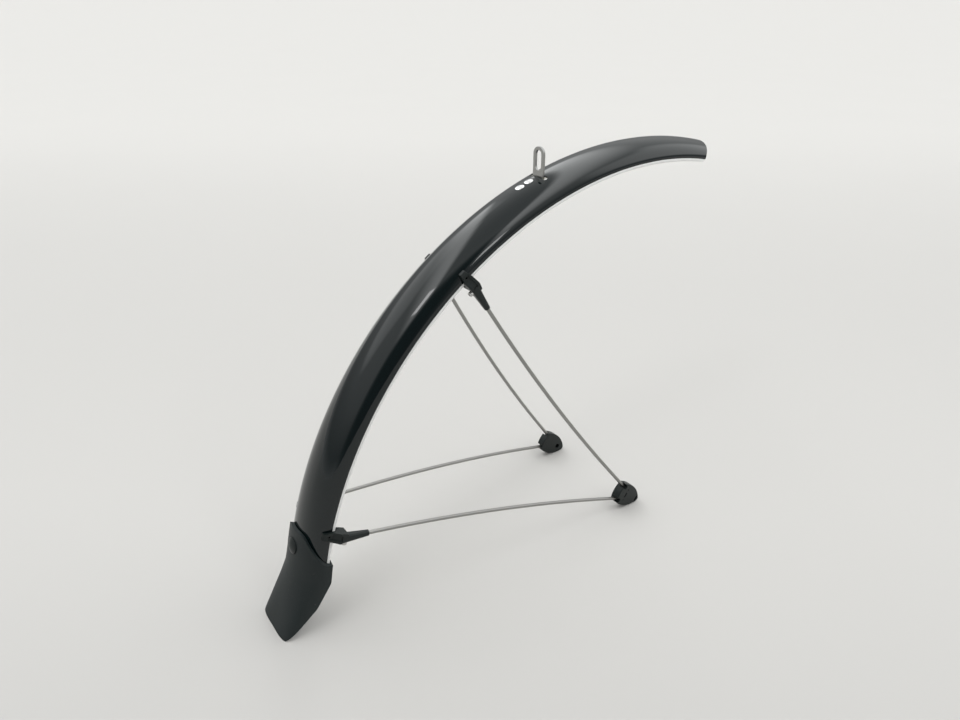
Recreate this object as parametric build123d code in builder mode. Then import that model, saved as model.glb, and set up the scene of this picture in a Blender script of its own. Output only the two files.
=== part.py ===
import os
from math import asin, atan2, copysign, cos, degrees, hypot, pi, radians, sin, sqrt

from build123d import *

# Front mudguard for a 28 inch wheel, in millimetres, standing on its flap and its two stay clips.
# +X points to the tip, +Y to the rider's left, +Z up, and the floor is Z = 0.
# Angles are counted about the wheel axle, from straight ahead over the top towards the flap.

# Blade
rim_radius = 364.2
blade_width = 52.0
blade_depth = 16.8
blade_wall = 1.4
lip_height = 2.7
lip_bead = 1.0
tip_angle = 77.23
tail_angle = 169.8
tip_bow_radius = 37.0
tip_round = 8.5
axle_below_floor = 13.0

# Fork crown bracket with its two rivets
bracket_plate = 2.0
bracket_width = 13.0
upright_setback = 118.0
upright_rise = 23.8
upright_corner = 6.0
crown_slot_width = 7.4
crown_slot_length = 17.0
crown_slot_top_wall = 2.6
bracket_bend = 1.6
foot_overhang = 7.0
rivet_runs = (11.4, 21.7)
rivet_shank = 4.0
rivet_head = 8.0
rivet_head_height = 0.7
rivet_tail = 6.2
rivet_tail_height = 1.2
blade_slot_width = 21.0
blade_slot_length = 4.8

# Wire stays
wire = 3.4
eye_bore = 5.6
eye_setback = 34.8
eye_offset = 60.0
stay_angles = (125.5, 163.65)
wire_end_depth = 6.7
wire_end_stand = 3.0
wire_knee = 15.0
knee_radius = 20.0
leg_bows = (7.6, 9.2)
bow_share = 0.795

# Stay brackets gripping the rim
strap_angles = (125.45, 163.4)
strap_wall = 2.4
strap_reach = 7.8
strap_top_width = 5.4
strap_foot_width = 9.2
grip_body_width = 9.6
grip_body_height = 9.4
grip_body_wall = 2.4
grip_shoulder = 2.6
grip_flange = 4.2
grip_notch = 2.4
grip_taper = 1.2
grip_lobe_wall = 2.0
grip_lobe_reach = 2.6
grip_lobe_width = 11.0
rib_groove_width = 4.4
rib_groove_depth = 0.8
rib_groove_reach = 3.8
peg_hole = 1.7
peg_height = 2.6
nose_lead = 1.0
nose_length = 24.0
nose_width = 7.6
nose_tip = 5.0
nose_corner = 2.2

# Clamp screws
screw_thread = 4.4
screw_top = 6.6
screw_chamfer = 0.4
screw_hex = 2.2
screw_hex_depth = 1.5
screw_depth = 4.0

# Release clips at the fork ends
clip_axis_angle = 35.2
clip_cap_height = 5.0
clip_base_height = 4.0
clip_side_radius = 32.0
clip_side_shift = 20.0
clip_side_setback = 2.5
clip_back_radius = 24.6
clip_back_reach = 14.5
clip_tip_round = 4.0
clip_back_round = 3.0
clip_edge_round = 1.2
clip_bolt_bore = 5.4
clip_bolt_position = 10.4
clip_bolt_head = 9.0
clip_bolt_head_height = 3.2
clip_mouth_width = 4.8
clip_mouth_depth = 5.0
clip_slit_width = 1.7
clip_slit_length = 5.2
clip_slit_position = -3.6
clip_slit_depth = 1.4
clip_dimple = 1.5
clip_dimple_spread = 6.0
clip_window_width = 2.6
clip_window_length = 6.2
clip_window_position = 16.6
clip_tongue_height = 2.6

# Mud flap and its button
flap_wall = 2.6
flap_gap = 0.5
flap_peak_angle = 164.4
flap_lead = 1.0
flap_crest = 10.5
flap_shoulder_angle = 168.0
flap_shoulder_run = 31.0
flap_cut_round = 10.0
flap_bend_angle = 170.5
flap_tab_angle = 170.7
flap_side_inset = 12.1
flap_side_angle = 174.3
flap_toe_run = 17.1
flap_toe_inset = 0.6
flap_toe_depth = 25.0
flap_toe_squareness = 5.0
flap_toe_trim = 1.9
flap_hook_wall = 1.4
flap_hook_reach = 5.6
button_angle = 166.7
button_head = 14.0
button_head_height = 3.0
button_shank = 5.6
button_barb = 7.4
button_barb_height = 2.2
button_seat_depth = 0.7

# Clearances
rivet_clearance = 0.1
strap_clearance = 0.2
lip_clearance = 0.25
wire_clearance = 0.15
screw_clearance = 0.1
tongue_clearance = 0.3
button_clearance = 0.2
contact_clearance = 0.05

# Places that follow from the sizes above
half_width = blade_width / 2
crown_radius = rim_radius + blade_depth
inner_half_width = half_width - blade_wall
inner_depth = blade_depth - blade_wall
lip_radius = rim_radius - lip_height
wire_end_offset = half_width + wire_end_stand
flap_crown_radius = crown_radius + flap_gap + flap_wall
flap_toe_reach = flap_crown_radius + flap_toe_run
tip_reach = crown_radius * cos(radians(tip_angle))
axle_x = (flap_toe_reach - tip_reach) / 2
axle_z = -axle_below_floor
axle_point = (axle_x, 0, axle_z)
axle_line = Axis(axle_point, (0, -1, 0))
left, right = 1, -1
sides = {"left": left, "right": right}


def polar(radius, angle):
    """Point (x, z) at a radius and angle about the axle."""
    return axle_x + radius * cos(radians(angle)), axle_z + radius * sin(radians(angle))


def section_plane(angle):
    """Plane through the axle across the blade: local x runs along Y, local y outwards."""
    turn = radians(angle)
    return Plane(origin=axle_point, x_dir=(0, 1, 0), z_dir=(sin(turn), 0, -cos(turn)))


def side_plane(angle):
    """Plane of the wheel: local x runs along the blade towards the flap, local y outwards."""
    turn = radians(angle)
    return Plane(origin=axle_point, x_dir=(-sin(turn), 0, cos(turn)), z_dir=(0, 1, 0))


def radial_axis(angle):
    """Axis from the axle outwards."""
    turn = radians(angle)
    return Axis(axle_point, (cos(turn), 0, sin(turn)))


def radial_plane(angle, radius):
    """Plane that touches a circle about the axle: local x along Y, local z outwards."""
    turn = radians(angle)
    x, z = polar(radius, angle)
    return Plane(origin=(x, 0, z), x_dir=(0, 1, 0), z_dir=(cos(turn), 0, sin(turn)))


def finish(part, name):
    """Label a finished piece and write its file."""
    part.label = name
    export_step(part, f"parts/{name}.step")


os.makedirs("parts", exist_ok=True)


# Blade: an elliptical channel with a beaded lip, revolved about the axle, its tip bowed and rounded

blank_angle = tip_angle - degrees(tip_round / rim_radius)
corner_half_width = half_width * sqrt(1 - ((tip_round - lip_height) / blade_depth) ** 2)
corner_inset = tip_bow_radius - sqrt(tip_bow_radius**2 - corner_half_width**2)
tip_corner_angle = tip_angle + degrees(corner_inset / rim_radius)
foot_top_drop = inner_depth * (1 - sqrt(1 - (bracket_width / 2 / inner_half_width) ** 2))
foot_top_radius = rim_radius + inner_depth - foot_top_drop - contact_clearance
upright_x = axle_x - upright_setback
upright_angle = 90 + degrees(asin(upright_setback / crown_radius))
rivet_angles = [upright_angle + degrees(run / crown_radius) for run in rivet_runs]

with BuildPart() as blade:
    with BuildSketch(section_plane(blank_angle)):
        with Locations((0, rim_radius)):
            Ellipse(half_width, blade_depth)
            Ellipse(inner_half_width, inner_depth, mode=Mode.SUBTRACT)
        with Locations((0, rim_radius + blade_depth / 2)):
            Rectangle(blade_width, blade_depth, mode=Mode.INTERSECT)
        for side in (left, right):
            wall_middle = side * (half_width - blade_wall / 2)
            with Locations((wall_middle, rim_radius - lip_height / 2 + lip_bead / 2)):
                Rectangle(blade_wall, lip_height - lip_bead)
            with Locations((wall_middle, lip_radius + lip_bead)):
                Circle(lip_bead)
    revolve(axis=axle_line, revolution_arc=tail_angle - blank_angle)
    for angle in rivet_angles:
        with BuildSketch(radial_plane(angle, rim_radius)):
            Circle(rivet_shank / 2 + rivet_clearance)
        extrude(amount=2 * blade_depth, mode=Mode.SUBTRACT)
    with BuildSketch(Plane(origin=(upright_x, 0, 0), x_dir=(0, 1, 0), z_dir=(0, 0, 1))):
        SlotOverall(blade_slot_width, blade_slot_length)
    extrude(amount=2 * crown_radius, mode=Mode.SUBTRACT)
    with BuildSketch(radial_plane(button_angle, rim_radius)):
        Circle(button_shank / 2 + button_clearance)
    extrude(amount=2 * blade_depth, mode=Mode.SUBTRACT)
    with BuildSketch(radial_plane(tip_angle, crown_radius)):
        Rectangle(2 * blade_width, 4 * tip_round)
        with Locations((0, tip_bow_radius)):
            Circle(tip_bow_radius, mode=Mode.SUBTRACT)
    extrude(amount=2 * blade_depth, both=True, mode=Mode.SUBTRACT)
    with BuildSketch(side_plane(tip_corner_angle)):
        with Locations((0, lip_radius)):
            Rectangle(2 * tip_round, 2 * tip_round)
        with Locations((tip_round, lip_radius + tip_round)):
            Circle(tip_round, mode=Mode.SUBTRACT)
    extrude(amount=blade_width, both=True, mode=Mode.SUBTRACT)

finish(blade.part, "blade")


# Fork crown bracket: a riveted foot under the crown and a slotted upright through the blade

foot_end_angle = max(rivet_angles) + degrees(foot_overhang / foot_top_radius)
upright_back = upright_setback + bracket_plate / 2
foot_start_angle = 90 + degrees(asin(upright_back / foot_top_radius))
upright_top_z = polar(crown_radius, upright_angle)[1] + upright_rise
slot_middle_z = upright_top_z - crown_slot_top_wall - crown_slot_length / 2
wheel_plane = Plane(origin=axle_point, x_dir=(1, 0, 0), z_dir=(0, -1, 0))

with BuildPart() as crown_bracket:
    with BuildSketch(wheel_plane):
        with BuildLine() as bend:
            foot = CenterArc((0, 0), foot_top_radius, foot_end_angle, foot_start_angle - foot_end_angle)
            Line(foot @ 1, (-upright_back, upright_top_z - axle_z))
            fillet(bend.vertices().sort_by_distance(foot @ 1)[0], bracket_bend)
            offset(amount=bracket_plate, side=Side.RIGHT)
        make_face()
    extrude(amount=bracket_width / 2, both=True)
    fillet(crown_bracket.edges().filter_by(Axis.X).group_by(Axis.Z)[-1], upright_corner)
    with BuildSketch(Plane(origin=(upright_x, 0, slot_middle_z), x_dir=(0, 0, 1), z_dir=(1, 0, 0))):
        SlotOverall(crown_slot_length, crown_slot_width)
    extrude(amount=bracket_plate, both=True, mode=Mode.SUBTRACT)
    for angle in rivet_angles:
        with BuildSketch(radial_plane(angle, rim_radius)):
            Circle(rivet_shank / 2 + rivet_clearance)
        extrude(amount=2 * blade_depth, mode=Mode.SUBTRACT)

finish(crown_bracket.part, "crown_bracket")


# Crown rivets: a low domed head outside, a flattened tail under the foot

rivet_top = crown_radius + contact_clearance
rivet_bottom = foot_top_radius - bracket_plate - contact_clearance
for angle, rivet_name in zip(rivet_angles, ("crown_rivet_front", "crown_rivet_rear")):
    with BuildPart() as rivet:
        with BuildSketch(section_plane(angle)):
            with BuildLine():
                Polyline(
                    (0, rivet_top + rivet_head_height),
                    (0, rivet_bottom - rivet_tail_height),
                    (rivet_tail / 2, rivet_bottom - rivet_tail_height),
                    (rivet_tail / 2, rivet_bottom),
                    (rivet_shank / 2, rivet_bottom),
                    (rivet_shank / 2, rivet_top),
                    (rivet_head / 2, rivet_top),
                )
                TangentArc(
                    (0, rivet_top + rivet_head_height),
                    (rivet_head / 2, rivet_top),
                    tangent=(1, 0),
                )
            make_face()
        revolve(axis=radial_axis(angle))
    finish(rivet.part, rivet_name)


# Wire stays: one wire each side, bent to a V round its eye

eye_radius = (eye_bore + wire) / 2
clip_turn = radians(-clip_axis_angle)
clip_lowest = clip_side_radius - clip_side_shift * cos(clip_turn) + clip_side_setback * sin(clip_turn)
eye_x = axle_x - eye_setback
eye_z = clip_lowest
wire_end_radius = rim_radius - wire_end_depth


def leg_points(angle, leg_bow, turn_sign):
    """A stay leg seen from the side: its end, the corner of its bow, its knee and its heading there."""
    end_x, end_z = polar(wire_end_radius, angle)
    chord_x = eye_x - end_x
    chord_z = eye_z - end_z
    lift = turn_sign * leg_bow / hypot(chord_x, chord_z)
    bow_x = end_x + chord_x / 2 + lift * chord_z
    bow_z = end_z + chord_z / 2 - lift * chord_x
    reach = hypot(eye_x - bow_x, eye_z - bow_z)
    heading = atan2(eye_z - bow_z, eye_x - bow_x) + turn_sign * asin(eye_radius / reach)
    run = sqrt(reach**2 - eye_radius**2) - wire_knee
    knee = (bow_x + run * cos(heading), bow_z + run * sin(heading))
    return (end_x, end_z), (bow_x, bow_z), knee, heading


def stay_points(side):
    """The corners of one stay: end, bow and knee of the upper leg, apex, then back down the lower leg."""
    end1, bow1, knee1, heading1 = leg_points(stay_angles[0], leg_bows[0], 1)
    end2, bow2, knee2, heading2 = leg_points(stay_angles[1], leg_bows[1], -1)
    gap_x = knee2[0] - knee1[0]
    gap_z = knee2[1] - knee1[1]
    along = (gap_x * sin(heading2) - gap_z * cos(heading2)) / sin(heading2 - heading1)
    apex = (knee1[0] + along * cos(heading1), knee1[1] + along * sin(heading1))
    bow_offset = (eye_offset + wire_end_offset) / 2
    corners = (end1, bow1, knee1, apex, knee2, bow2, end2)
    offsets = (wire_end_offset, bow_offset, eye_offset, eye_offset, eye_offset, bow_offset, wire_end_offset)
    return [(x, side * y, z) for (x, z), y in zip(corners, offsets)]


def draw_stay(side):
    """The middle line of one stay, drawn in the open line."""
    end1, bow1, knee1, apex, knee2, bow2, end2 = [Vector(*point) for point in stay_points(side)]
    bends = []
    for end, bow, knee in ((end1, bow1, knee1), (end2, bow2, knee2)):
        bow_run = bow_share * (end - bow).length
        straight = Line(end, bow + (end - bow).normalized() * bow_run)
        bends.append(bow + (knee - bow).normalized() * bow_run)
        TangentArc(straight @ 1, bends[-1], tangent=straight % 1)
    stay_bends = [knee_radius, eye_radius, knee_radius]
    FilletPolyline(bends[0], knee1, apex, knee2, bends[1], radius=stay_bends)


def wire_frame(angle_index, side):
    """A leg's upper end and its direction out of the bracket."""
    points = stay_points(side)
    end, bow = (points[0], points[1]) if angle_index == 0 else (points[-1], points[-2])
    return Vector(end), (Vector(bow) - Vector(end)).normalized()


for side_name, side in sides.items():
    wire_end, wire_heading = wire_frame(0, side)
    with BuildPart() as stay:
        with BuildLine() as route:
            draw_stay(side)
        with BuildSketch(Plane(origin=wire_end, z_dir=wire_heading)):
            Circle(wire / 2)
        sweep(path=route.wire())
    finish(stay.part, f"stay_{side_name}")


# Stay brackets: a strap on the outer wall, a lobe inside the rim, a clamp body and a tapered nose

bead_stand = max(lip_bead - blade_wall / 2, 0)
strap_half_width = half_width + bead_stand + strap_clearance
strap_depth = blade_depth + bead_stand + strap_clearance
body_top = lip_radius - lip_clearance
body_bottom = body_top - grip_body_height
body_outer = wire_end_offset + wire / 2 + grip_body_wall
body_half = grip_body_width / 2
flange_end = body_top - grip_flange
lobe_outer = inner_half_width - bead_stand - strap_clearance
lobe_inner = lobe_outer - grip_lobe_wall


def screw_plane(angle_index, side, height):
    """Plane across a clamp screw at a height above the wire's axis: local z points towards the flap."""
    end, heading = wire_frame(angle_index, side)
    turn = radians(stay_angles[angle_index])
    across = Vector(-sin(turn), 0, cos(turn))
    across -= heading * across.dot(heading)
    return Plane(origin=end + heading * screw_depth, x_dir=heading, z_dir=across).offset(height)


def strap_band(outer, inner, reach, side):
    """Band between two ellipses round the blade's outer wall, drawn in the open sketch."""
    with Locations((0, rim_radius)):
        Ellipse(strap_half_width + outer, strap_depth + outer)
        Ellipse(strap_half_width + inner, strap_depth + inner, mode=Mode.SUBTRACT)
    with Locations((side * half_width, rim_radius + reach / 2)):
        Rectangle(half_width, reach, mode=Mode.INTERSECT)


def bracket_side(sketch_points):
    """Closed outline in the open sketch."""
    with BuildLine() as outline:
        Polyline(*sketch_points, close=True)
    make_face(outline.edges())


def stay_bracket(angle_index, side):
    """One moulded bracket."""
    angle = strap_angles[angle_index]
    end, heading = wire_frame(angle_index, side)
    across = screw_plane(angle_index, side, 0).z_dir
    with BuildPart() as bracket:
        with BuildSketch(section_plane(angle)):
            strap_band(strap_wall, 0, strap_reach, side)
            bracket_side([
                (side * strap_half_width, rim_radius),
                (side * (strap_half_width + strap_wall), rim_radius),
                (side * body_outer, body_top - grip_shoulder),
                (side * body_outer, body_bottom),
                (side * lobe_inner, body_bottom),
                (side * lobe_inner, body_top),
                (side * strap_half_width, body_top),
            ])
        extrude(amount=body_half, both=True)
        with BuildSketch(side_plane(angle)):
            bracket_side([
                (strap_top_width / 2, rim_radius + strap_reach),
                (strap_foot_width / 2, rim_radius),
                (body_half, flange_end),
                (body_half - grip_notch, flange_end),
                (body_half - grip_notch, body_bottom),
                (grip_taper - body_half, body_bottom),
                (-body_half, flange_end),
                (-strap_foot_width / 2, rim_radius),
                (-strap_top_width / 2, rim_radius + strap_reach),
            ])
        extrude(amount=blade_width, both=True, mode=Mode.INTERSECT)
        with BuildSketch(side_plane(angle).offset(side * lobe_inner)):
            bracket_side([
                (grip_lobe_width / 2, body_top),
                (body_half, rim_radius + grip_lobe_reach),
                (-body_half, rim_radius + grip_lobe_reach),
                (-grip_lobe_width / 2, body_top),
                (-body_half, flange_end),
                (body_half, flange_end),
            ])
        extrude(amount=side * grip_lobe_wall)
        nose_plane = Plane(origin=end + heading * nose_lead, x_dir=across, z_dir=heading)
        with BuildSketch(nose_plane):
            RectangleRounded(nose_width, wire + 2 * grip_body_wall, nose_corner)
        with BuildSketch(nose_plane.offset(nose_length)):
            RectangleRounded(nose_tip, nose_tip, nose_corner)
        loft()
        with BuildSketch(section_plane(angle)):
            strap_band(2 * strap_wall, strap_wall - rib_groove_depth, rib_groove_reach, side)
            bracket_side([
                (side * (strap_half_width + strap_wall - rib_groove_depth), rim_radius),
                (side * (body_outer - rib_groove_depth), body_top - grip_shoulder),
                (side * (body_outer - rib_groove_depth), flange_end),
                (side * (body_outer + strap_wall), flange_end),
                (side * (body_outer + strap_wall), rim_radius),
            ])
        extrude(amount=rib_groove_width / 2, both=True, mode=Mode.SUBTRACT)
        with BuildSketch(side_plane(angle).offset(side * half_width)):
            with Locations((0, rim_radius + peg_height)):
                Circle(peg_hole / 2)
        extrude(amount=side * 2 * strap_wall, mode=Mode.SUBTRACT)
        with BuildSketch(Plane(origin=end - heading * wire_clearance, x_dir=across, z_dir=heading)):
            Circle(wire / 2 + wire_clearance)
        extrude(amount=2 * nose_length, mode=Mode.SUBTRACT)
        with BuildSketch(screw_plane(angle_index, side, 0)):
            Circle(screw_thread / 2 + screw_clearance)
        extrude(amount=2 * screw_top, mode=Mode.SUBTRACT)
    return bracket.part


def clamp_screw(angle_index, side):
    """One socket screw, its end on the wire."""
    foot = wire / 2 + contact_clearance
    with BuildPart() as screw:
        with BuildSketch(screw_plane(angle_index, side, foot)):
            Circle(screw_thread / 2)
        extrude(amount=screw_top - foot)
        top = screw_plane(angle_index, side, screw_top)
        crown = screw.edges().filter_by(GeomType.CIRCLE).sort_by_distance(top.origin)[0]
        chamfer(crown, screw_chamfer)
        with BuildSketch(top):
            RegularPolygon(screw_hex / 2, 6, major_radius=False)
        extrude(amount=-screw_hex_depth, mode=Mode.SUBTRACT)
    return screw.part


for angle_index, level in enumerate(("upper", "lower")):
    for side_name, side in sides.items():
        finish(stay_bracket(angle_index, side), f"stay_bracket_{level}_{side_name}")
        finish(clamp_screw(angle_index, side), f"clamp_screw_{level}_{side_name}")


# Release clips: a base with the fork bolt's bore and a cap, closed over the eye of the stay

def clip_plane(side, height):
    """Plane of a clip at a distance outside the wire: local x to the tip, local z outwards."""
    turn = radians(-clip_axis_angle)
    return Plane(
        origin=(eye_x, side * (eye_offset + height), eye_z),
        x_dir=(cos(turn), 0, sin(turn)),
        z_dir=(0, side, 0),
    )


def clip_outline(sketch):
    """Rounded triangle with bowed sides, drawn in the open sketch."""
    with Locations((-clip_side_setback, clip_side_shift)):
        Circle(clip_side_radius)
    with Locations((-clip_side_setback, -clip_side_shift)):
        Circle(clip_side_radius, mode=Mode.INTERSECT)
    with Locations((clip_back_radius - clip_back_reach, 0)):
        Circle(clip_back_radius, mode=Mode.INTERSECT)
    fillet(sketch.vertices().sort_by(Axis.X)[-1], clip_tip_round)
    fillet(sketch.vertices().sort_by(Axis.X)[:2], clip_back_round)


def outer_face(builder, side):
    """The face of a clip half that is furthest from the wheel."""
    return builder.faces().filter_by(Axis.Y).sort_by(Axis.Y)[-1 if side == left else 0]


def inner_face(builder, side):
    """The face of a clip half that is nearest to the wheel."""
    return outer_face(builder, -side)


def cut_wire_channel(side):
    """Cut the stay's way, with its clearance, out of the open part."""
    wire_end, wire_heading = wire_frame(0, side)
    with BuildLine() as route:
        draw_stay(side)
    with BuildSketch(Plane(origin=wire_end, z_dir=wire_heading)) as bore:
        Circle(wire / 2 + wire_clearance)
    sweep(bore.sketch, path=route.wire(), mode=Mode.SUBTRACT)


def clip_cap(side):
    """Outer half, with open mouths for the wire, a slit, two dimples and the tongue's window."""
    points = stay_points(side)
    with BuildPart() as cap:
        with BuildSketch(clip_plane(side, 0)) as outline:
            clip_outline(outline)
        extrude(amount=clip_cap_height)
        fillet(outer_face(cap, side).edges(), clip_edge_round)
        cut_wire_channel(side)
        for knee in (points[2], points[4]):
            heading = (Vector(points[3]) - Vector(knee)).normalized()
            with BuildSketch(Plane(origin=knee, x_dir=heading, z_dir=(0, side, 0))):
                SlotOverall(2 * clip_mouth_depth, clip_mouth_width)
            extrude(amount=clip_cap_height, mode=Mode.SUBTRACT)
        with BuildSketch(clip_plane(side, 0)):
            with Locations((clip_bolt_position, 0)):
                Circle(clip_bolt_head / 2)
        extrude(amount=clip_bolt_head_height, mode=Mode.SUBTRACT)
        with BuildSketch(clip_plane(side, clip_cap_height)):
            with Locations((clip_slit_position, 0)):
                SlotOverall(clip_slit_length, clip_slit_width, rotation=90)
            for dimple_offset in (clip_dimple_spread, -clip_dimple_spread):
                with Locations((clip_slit_position, dimple_offset)):
                    Circle(clip_dimple / 2)
        extrude(amount=-clip_slit_depth, mode=Mode.SUBTRACT)
        with BuildSketch(clip_plane(side, 0)):
            with Locations((clip_window_position, 0)):
                SlotOverall(clip_window_length, clip_window_width, rotation=90)
        extrude(amount=clip_cap_height, mode=Mode.SUBTRACT)
    return cap.part


def clip_base(side):
    """Inner half, with the bore for the fork bolt and the tongue that holds the cap."""
    with BuildPart() as base:
        with BuildSketch(clip_plane(side, 0)) as outline:
            clip_outline(outline)
        extrude(amount=-clip_base_height)
        fillet(inner_face(base, side).edges(), clip_edge_round / 2)
        cut_wire_channel(side)
        with BuildSketch(clip_plane(side, 0)):
            with Locations((clip_bolt_position, 0)):
                Circle(clip_bolt_bore / 2)
        extrude(amount=-clip_base_height, mode=Mode.SUBTRACT)
        with BuildSketch(clip_plane(side, 0)):
            with Locations((clip_window_position, 0)):
                SlotOverall(
                    clip_window_length - 2 * tongue_clearance,
                    clip_window_width - 2 * tongue_clearance,
                    rotation=90,
                )
        extrude(amount=clip_tongue_height)
    return base.part


for side_name, side in sides.items():
    finish(clip_base(side), f"release_clip_base_{side_name}")
    finish(clip_cap(side), f"release_clip_cap_{side_name}")


# Mud flap: hugs the tail of the blade, hooks under both rims, then bends out to a flat toe

hook_top = lip_radius - lip_clearance
flap_hem = rim_radius - hook_top + flap_hook_wall
flap_peak_x, flap_peak_z = polar(flap_crown_radius, flap_peak_angle)
flap_shoulder_z = polar(rim_radius, flap_shoulder_angle)[1]
flap_half_width = half_width + flap_gap + flap_wall
flap_depth = blade_depth + flap_gap + flap_wall
flap_start_angle = flap_peak_angle - flap_lead
flap_hug = flap_bend_angle - flap_start_angle
toe_base = flap_toe_reach - flap_toe_depth
toe_half_width = flap_half_width - flap_toe_inset
toe_steps = 10
half_turn = 180


def hem_line(base, half_breadth):
    """The straight lower edge of a flap section, drawn in the open line."""
    Polyline(
        (-half_breadth, base),
        (-half_breadth, base - flap_hem),
        (half_breadth, base - flap_hem),
        (half_breadth, base),
    )


def hug_section(inset):
    """Section of the flap where it hugs the blade, drawn in the open sketch."""
    half_breadth = flap_half_width - inset
    with BuildLine() as outline:
        EllipticalCenterArc((0, rim_radius), half_breadth, flap_depth - inset, arc_size=half_turn)
        hem_line(rim_radius, half_breadth)
    make_face(outline.edges())


def toe_section(inset):
    """Section at the toe, nearly flat with rounded corners, drawn in the open sketch."""
    half_breadth = toe_half_width - inset
    crown = []
    for step in range(toe_steps + 1):
        turn = pi * step / toe_steps
        breadth = copysign(abs(cos(turn)) ** (2 / flap_toe_squareness), cos(turn))
        rise = abs(sin(turn)) ** (2 / flap_toe_squareness) if 0 < step < toe_steps else 0
        crown.append((half_breadth * breadth, toe_base + (flap_toe_depth - inset) * rise))
    with BuildLine() as outline:
        Spline(*crown)
        hem_line(toe_base, half_breadth)
    make_face(outline.edges())


toe_plane = Plane(origin=(axle_x, 0, 0), x_dir=(0, 1, 0), z_dir=(0, 0, 1))

with BuildPart() as mud_flap:
    for inset, mode in ((0, Mode.ADD), (flap_wall, Mode.SUBTRACT)):
        with BuildSketch(section_plane(flap_start_angle)):
            hug_section(inset)
        revolve(axis=axle_line, revolution_arc=flap_hug, mode=mode)
        with BuildSketch(section_plane(flap_bend_angle)):
            hug_section(inset)
        with BuildSketch(toe_plane):
            toe_section(inset)
        loft(ruled=True, mode=mode)
    with BuildSketch(section_plane(flap_peak_angle)):
        for side in (left, right):
            with Locations((side * (flap_half_width - flap_hook_reach / 2), hook_top - flap_hook_wall / 2)):
                Rectangle(flap_hook_reach, flap_hook_wall)
    revolve(axis=axle_line, revolution_arc=flap_bend_angle - flap_peak_angle)
    for side in (left, right):
        cut_plane = Plane(origin=(flap_peak_x, 0, 0), x_dir=(1, side, 0), z_dir=(side, -1, 0))
        with BuildSketch(cut_plane):
            with BuildLine() as edge:
                FilletPolyline(
                    (-flap_shoulder_run, flap_peak_z),
                    (flap_crest, flap_peak_z),
                    (flap_shoulder_run, flap_shoulder_z),
                    (2 * flap_shoulder_run, flap_shoulder_z),
                    radius=flap_cut_round,
                )
                Polyline(
                    (2 * flap_shoulder_run, flap_shoulder_z),
                    (2 * flap_shoulder_run, 2 * flap_peak_z),
                    (-flap_shoulder_run, 2 * flap_peak_z),
                    (-flap_shoulder_run, flap_peak_z),
                )
            make_face()
        extrude(amount=4 * flap_half_width, both=True, mode=Mode.SUBTRACT)
    tab_x, tab_z = polar(rim_radius - flap_hem, flap_tab_angle)
    side_x, side_z = polar(flap_crown_radius - flap_side_inset, flap_side_angle)
    trim_x = axle_x - flap_toe_reach + flap_toe_trim
    with BuildSketch(Plane.XZ):
        with BuildLine():
            Polyline(
                (tab_x, tab_z),
                (side_x, side_z),
                (trim_x, 0),
                (trim_x, -side_z),
                (axle_x, -side_z),
                (axle_x, tab_z),
                close=True,
            )
        make_face()
    extrude(amount=2 * flap_half_width, both=True, mode=Mode.SUBTRACT)
    with BuildSketch(radial_plane(button_angle, flap_crown_radius - button_seat_depth)):
        Circle(button_head / 2 + button_clearance)
    extrude(amount=button_head, mode=Mode.SUBTRACT)
    with BuildSketch(radial_plane(button_angle, rim_radius)):
        Circle(button_shank / 2 + button_clearance)
    extrude(amount=2 * blade_depth, mode=Mode.SUBTRACT)

finish(mud_flap.part, "mud_flap")


# Flap button: a domed head on the flap, a shank through the blade and a barbed end inside

button_seat = flap_crown_radius - button_seat_depth + contact_clearance
barb_drop = inner_depth * (1 - sqrt(1 - (button_barb / 2 / inner_half_width) ** 2))
barb_top = rim_radius + inner_depth - barb_drop - button_clearance

with BuildPart() as flap_button:
    with BuildSketch(section_plane(button_angle)):
        with BuildLine():
            Polyline(
                (0, button_seat + button_head_height),
                (0, barb_top - button_barb_height),
                (button_shank / 4, barb_top - button_barb_height),
                (button_barb / 2, barb_top),
                (button_shank / 2, barb_top),
                (button_shank / 2, button_seat),
                (button_head / 2, button_seat),
                (button_head / 2, button_seat + button_head_height / 3),
            )
            TangentArc(
                (0, button_seat + button_head_height),
                (button_head / 2, button_seat + button_head_height / 3),
                tangent=(1, 0),
            )
        make_face()
    revolve(axis=radial_axis(button_angle))

finish(flap_button.part, "flap_button")
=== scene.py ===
"""Looks of a front bicycle mudguard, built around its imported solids.

The arched blade, its two pale rim lips and the two bent wire stays are made again as smooth swept meshes,
and the rubber flap gets a round bend. The other pieces keep their solids and get moulded and metal finishes.
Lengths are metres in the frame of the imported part: +X to the tip, +Y to the left, +Z up.
"""

import logging
import math
from dataclasses import dataclass, field
from enum import Enum
from typing import Any, Sequence

import bmesh
import bpy
from mathutils import Matrix, Vector


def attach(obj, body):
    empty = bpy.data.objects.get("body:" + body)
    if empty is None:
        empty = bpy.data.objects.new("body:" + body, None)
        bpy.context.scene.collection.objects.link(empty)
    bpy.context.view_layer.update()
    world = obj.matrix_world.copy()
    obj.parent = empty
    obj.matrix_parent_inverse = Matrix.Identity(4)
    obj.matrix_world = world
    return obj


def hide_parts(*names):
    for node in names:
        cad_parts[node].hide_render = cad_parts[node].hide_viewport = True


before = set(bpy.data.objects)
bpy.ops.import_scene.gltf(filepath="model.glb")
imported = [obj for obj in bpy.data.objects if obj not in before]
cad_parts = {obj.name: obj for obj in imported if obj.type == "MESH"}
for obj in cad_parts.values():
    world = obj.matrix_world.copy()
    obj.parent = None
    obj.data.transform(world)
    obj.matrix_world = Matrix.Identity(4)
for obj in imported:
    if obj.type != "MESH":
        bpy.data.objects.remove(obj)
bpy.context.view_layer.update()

BODY = "root"
MM = 0.001

BLADE_HALF_WIDTH = 26.0 * MM
BLADE_DEPTH = 16.8 * MM
SEAM_WELD = 1e-7
BEVEL_SAMPLES = 6
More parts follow.
